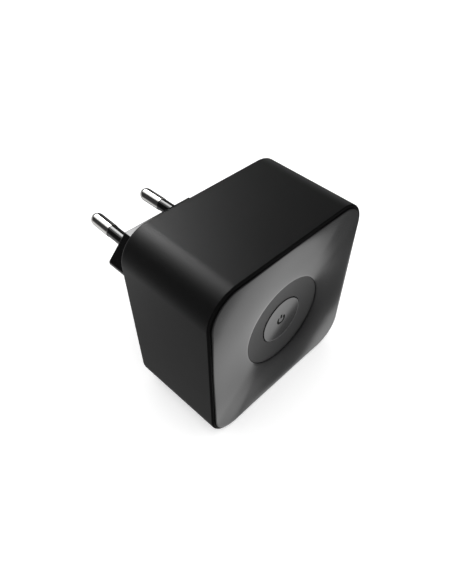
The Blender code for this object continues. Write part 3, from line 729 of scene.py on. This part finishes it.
def makePins(v):
    shoulder, gap, edge = v["sleeveLength"], v["gap"], v["edge"]
    root, rootY = v["rootRadius"], shoulder - v["rootLength"]
    bare = [(0, rootY), (root, rootY), (root, shoulder + gap)]
    bare += arcPoints((v["radius"] - edge, shoulder + gap + edge), edge, 270, 360, 3)
    bare += arcPoints((0, v["length"] - v["radius"]), v["radius"], 0, 90, v["tipSteps"])[:-1]
    bare.append((0, v["length"]))

    collar, collarEdge, height = v["collarRadius"], v["collarEdge"], v["collarHeight"]
    outer, bore, outerEdge = v["sleeveRadius"], v["sleeveBore"], v["sleeveEdge"]
    footOut, footAlong = v["collarFoot"]
    sleeve = [(bore, -v["sleeveRoot"]), (collar, -v["sleeveRoot"])]
    sleeve += arcPoints((collar - collarEdge, height - collarEdge), collarEdge, 0, 90, 4)
    sleeve += [(outer + footOut, height), (outer, height + footAlong)]
    sleeve += arcPoints((outer - outerEdge, shoulder - gap - outerEdge), outerEdge, 0, 90, 3)
    sleeve += [(bore, shoulder - gap)]

    for name, side in (("left", -1), ("right", 1)):
        shape = turnedMesh(bare, v["spins"])
        pin = addPiece(f"pin_{name}", shape, [finish["pinPlating"]], 50, weighted=True)
        placeOnPin(pin, side)
        settle(pin, "housing", "pin_metal", f"plug_pin_{name}")
        shape = turnedMesh(sleeve, v["spins"])
        cover = addPiece(f"sleeve_{name}", shape, [finish["sleevePlastic"]], 45, weighted=True)
        placeOnPin(cover, side)
        settle(cover, "housing", "sleeve_plastic", f"pin_sleeve_{name}")


screwValues = {
    "sunk": 0.25 * mm,
    "dome": 0.5 * mm,
    "seatGap": 0.02 * mm,
    "shankRadius": 0.9 * mm,
    "shankDepth": 8 * mm,
    "pointDepth": 8.6 * mm,
    "lobes": 3,  # security recess
    "lobeStart": -0.15 * mm,
    "lobeReach": 1.25 * mm,
    "lobeRoot": 0.28 * mm,  # half widths of a lobe
    "lobeTip": 0.2 * mm,
    "lobeDepth": 0.6 * mm,
    "turn": 35,  # degrees more for each screw
}


def makeScrews(v):
    head, reach = coverValues["screwHead"], coverValues["screwReach"]
    headY = rearY - v["sunk"]
    seatY = rearY - coverValues["seatDepth"] + v["seatGap"]
    flat, shank = head - v["dome"], v["shankRadius"]
    profile = [(0, headY), (flat, headY)]
    profile += arcPoints((flat, headY - v["dome"]), v["dome"], 90, 0, 6)[1:]
    profile += [(head, seatY), (shank, seatY), (shank, rearY - v["shankDepth"])]
    profile.append((0, rearY - v["pointDepth"]))
    steel = [finish["screwSteel"]]
    places = [(x, z) for z in (reach, -reach) for x in (reach, -reach)]
    for number, (x, z) in enumerate(places, start=1):
        screw = addPiece(f"screw_{number}", turnedMesh(profile, 48), steel)
        tools = []
        for k in range(v["lobes"]):
            a = math.radians(90 + 360 / v["lobes"] * k + v["turn"] * number)
            out = Vector((math.cos(a), math.sin(a)))
            across = Vector((-out.y, out.x))
            root, tip = out * v["lobeStart"], out * v["lobeReach"]
            corners = [root - across * v["lobeRoot"], tip - across * v["lobeTip"]]
            corners += [tip + across * v["lobeTip"], root + across * v["lobeRoot"]]
            outline = [(p.x, p.y) for p in corners]
            lobe = [atY(outline, headY - v["lobeDepth"]), atY(outline, headY + mm)]
            tools.append(addPiece("lobeTool", loftMesh(lobe, closed=False), steel))
        cutWith(screw, tools, 35)
        screw.data.transform(Matrix.Translation((x, 0, z)))
        settle(screw, "housing", "screw_steel", f"cover_screw_{number}")


makeCasing(casingValues)
makeFrontPanel(panelValues)
makeLightRing(ringValues)
makeButtonCap(buttonValues)
print("front pieces ready")
makeRearCover(coverValues)
makePlugBoss(bossValues)
makePins(pinValues)
makeScrews(screwValues)
print("rear pieces ready")

# the inner pieces keep their CAD shape and get their own finishes, in the order of finish above
innerPlastics = {
    "white_plastic": ("whitePlastic", (0.72, 0.72, 0.70), 0.45, 0.2, 0.004 * mm, 0.5),
    "chip_epoxy": ("chipEpoxy", (0.022, 0.022, 0.022), 0.5, 0.1, 0.004 * mm),
    "board_laminate": ("boardLaminate", (0.03, 0.16, 0.08), 0.42, 0.6, 0.01 * mm, 0.2),
    "led_lens": ("ledLens", (0.85, 0.84, 0.72), 0.18, 0.3, 0.001 * mm),
    "insulating_sheet": ("fibreSheet", (0.55, 0.52, 0.42), 0.7, 0.5, 0.02 * mm, 0.3),
    "ferrite": ("ferriteCore", (0.06, 0.06, 0.06), 0.55, 0.15, 0.01 * mm),
    "winding_tape": ("windingTape", (0.75, 0.55, 0.06), 0.32, 0.7, 0.01 * mm),
    "capacitor_sleeve": ("capacitorSleeve", (0.02, 0.03, 0.10), 0.3, 0.6, 0.004 * mm),
    "varistor_coating": ("varistorCoating", (0.03, 0.10, 0.40), 0.4, 0.4, 0.01 * mm),
}
innerMetals = {
    "contact_brass": ("contactBrass", (0.70, 0.55, 0.28), 0.28, 0.001 * mm),
    "shield_tin": ("shieldTin", (0.70, 0.70, 0.68), 0.30, 0.001 * mm),
}
innerFinish = {slotName: mouldedPlastic(*values) for slotName, values in innerPlastics.items()}
innerFinish |= {slotName: platedMetal(*values) for slotName, values in innerMetals.items()}
for part in frame["record"]["subparts"]:
    node = frame["nodes"][part["node"]]
    if part["material_slot"] in innerFinish and not node.hide_render:
        node.data.materials.clear()
        node.data.materials.append(innerFinish[part["material_slot"]])
print("inner pieces finished")


floorValues = {
    "size": 6.0,
    "drop": 0.02 * mm,
    "glow": 0.36,
    "roughness": 0.9,
    "specular": 0.1,
    "mottleScale": 14.0,
    "dull": (0.90, 0.90, 0.90),
    "pale": (0.93, 0.93, 0.93),
}


def makeFloor(v):
    shape = bmesh.new()
    bmesh.ops.create_grid(shape, x_segments=8, y_segments=8, size=v["size"] / 2)
    material, tree, shader = startMaterial("paleFloor")
    mottle = addNoise(tree, objectPlace(tree), v["mottleScale"], 4.0)
    tone = addColourMix(tree, mottle, v["dull"], v["pale"])
    tree.links.new(tone, shader.inputs["Base Color"])
    shader.inputs["Roughness"].default_value = v["roughness"]
    shader.inputs["Specular IOR Level"].default_value = v["specular"]
    shader.inputs["Emission Color"].default_value = (1, 1, 1, 1)
    shader.inputs["Emission Strength"].default_value = v["glow"]
    floor = addPiece("paleGround", shape, [material])
    floor.location.z = floorZ - v["drop"]
    floor.visible_glossy = False


cameraValues = {
    "place": (-0.06589, -0.09408, 0.09421),
    "azimuth": -51.431,
    "elevation": 48.925,
    "roll": 4.785,
    "lens": 30.86,
    "sensor": 36,
    "shift": (-0.0704, 0.0415),
    "nearest": 0.005,
}


def makeCamera(v):
    a, e, r = (math.radians(v[k]) for k in ("azimuth", "elevation", "roll"))
    back = Vector((math.sin(a) * math.cos(e), -math.cos(a) * math.cos(e), math.sin(e)))
    side = (-back).cross(Vector((0, 0, 1))).normalized()
    up = side.cross(-back)
    right = math.cos(r) * side + math.sin(r) * up
    top = -math.sin(r) * side + math.cos(r) * up
    data = bpy.data.cameras.new("camera")
    data.lens = v["lens"]
    data.sensor_width = v["sensor"]
    data.shift_x, data.shift_y = v["shift"]
    data.clip_start = v["nearest"]
    camera = bpy.data.objects.new("camera", data)
    bpy.context.scene.collection.objects.link(camera)
    turn = Matrix((right, top, back)).transposed().to_4x4()
    camera.matrix_world = Matrix.Translation(v["place"]) @ turn
    bpy.context.scene.camera = camera


skyValues = {
    "eye": 1.0,  # seen directly by the camera
    "fill": 1.08,  # even light that reaches the floor and the matt parts
    "dark": 0.05,  # unlit part of the reflections
    "lamps": {
        # direction towards the lamp, cosines where it fades out and is full, strength
        "tableWide": ((0.519, 0.010, -0.855), 0.79, 1.00, 0.42),
        "tableCore": ((0.519, 0.010, -0.855), 0.897, 0.920, 0.83),
        "roofWide": ((0.00, 0.70, 0.71), 0.883, 0.924, 1.35),
        "roofCoreLeft": ((0.05, 0.71, 0.70), 0.984, 0.990, 7.5),
        "roofCoreRight": ((0.28, 0.70, 0.656), 0.984, 0.990, 9.5),
        "roofRight": ((0.84, 0.47, 0.10), 0.955, 0.985, 0.45),
        "undersideLeft": ((-0.30, 0.55, -0.85), 0.70, 0.95, 0.25),
        "undersideRear": ((-0.25, 0.90, -0.36), 0.87, 0.93, 0.62),
        "frontLow": ((-0.66, -0.68, -0.32), 0.80, 0.97, 0.55),
        "frontRight": ((0.58, -0.76, 0.28), 0.78, 0.97, 0.55),
    },
    "cards": {
        # direction towards the black card, cosines where it fades out and is full, share taken
        "rightCard": ((0.52, 0.66, -0.54), 0.809, 0.866, 1.0),
    },
}


def softLampGroup():
    # a round lamp with a soft edge, for one direction of view
    group, inside, out = newGroup(
        "softLamp",
        [
            ("View", (0.0, 0.0, 1.0)),
            ("Direction", (0.0, 0.0, 1.0)),
            ("Fade Out", 0.8),
            ("Full", 0.9),
            ("Strength", 1.0),
        ],
        ["Light"],
    )
    given = inside.outputs
    sides = {0: given["View"], 1: given["Direction"]}
    nearness = addNode(group, "ShaderNodeVectorMath", sides, operation="DOT_PRODUCT")
    fadeInputs = {
        "Value": nearness.outputs["Value"],
        "From Min": given["Fade Out"],
        "From Max": given["Full"],
        "To Max": given["Strength"],
    }
    faded = addNode(group, "ShaderNodeMapRange", fadeInputs, interpolation_type="SMOOTHSTEP")
    group.links.new(faded.outputs[0], out.inputs["Light"])
    return group


def makeStudioSky(v):
    # white surround for the eye and the floor; soft lamps in the reflections
    world = bpy.data.worlds.new("studio")
    bpy.context.scene.world = world
    world.use_nodes = True
    world.cycles.sampling_method = "NONE"
    tree = world.node_tree
    softLamp = softLampGroup()
    view = addNode(tree, "ShaderNodeTexCoord").outputs["Generated"]

    def addLamp(name, direction, fadeOut, full, strength):
        lampInputs = {
            "View": view,
            "Direction": Vector(direction).normalized(),
            "Fade Out": fadeOut,
            "Full": full,
            "Strength": strength,
        }
        lamp = addGroup(tree, softLamp, lampInputs)
        lamp.label = name
        return lamp.outputs["Light"]

    total = v["dark"]
    for name, values in v["lamps"].items():
        total = addMath(tree, "ADD", total, addLamp(name, *values))
    for name, values in v["cards"].items():
        passed = addMath(tree, "SUBTRACT", 1.0, addLamp(name, *values))
        total = addMath(tree, "MULTIPLY", total, passed)
    ray = addNode(tree, "ShaderNodeLightPath").outputs
    lit = addNode(tree, "ShaderNodeMix", {"Factor": ray["Is Diffuse Ray"], 2: total, 3: v["fill"]})
    seenInputs = {"Factor": ray["Is Camera Ray"], 2: lit.outputs[0], 3: v["eye"]}
    seen = addNode(tree, "ShaderNodeMix", seenInputs)
    background = tree.nodes["Background"]
    background.inputs["Color"].default_value = (1, 1, 1, 1)
    tree.links.new(seen.outputs[0], background.inputs["Strength"])


makeFloor(floorValues)
makeCamera(cameraValues)
makeStudioSky(skyValues)
bpy.context.scene.view_settings.view_transform = "Standard"
print("studio ready")
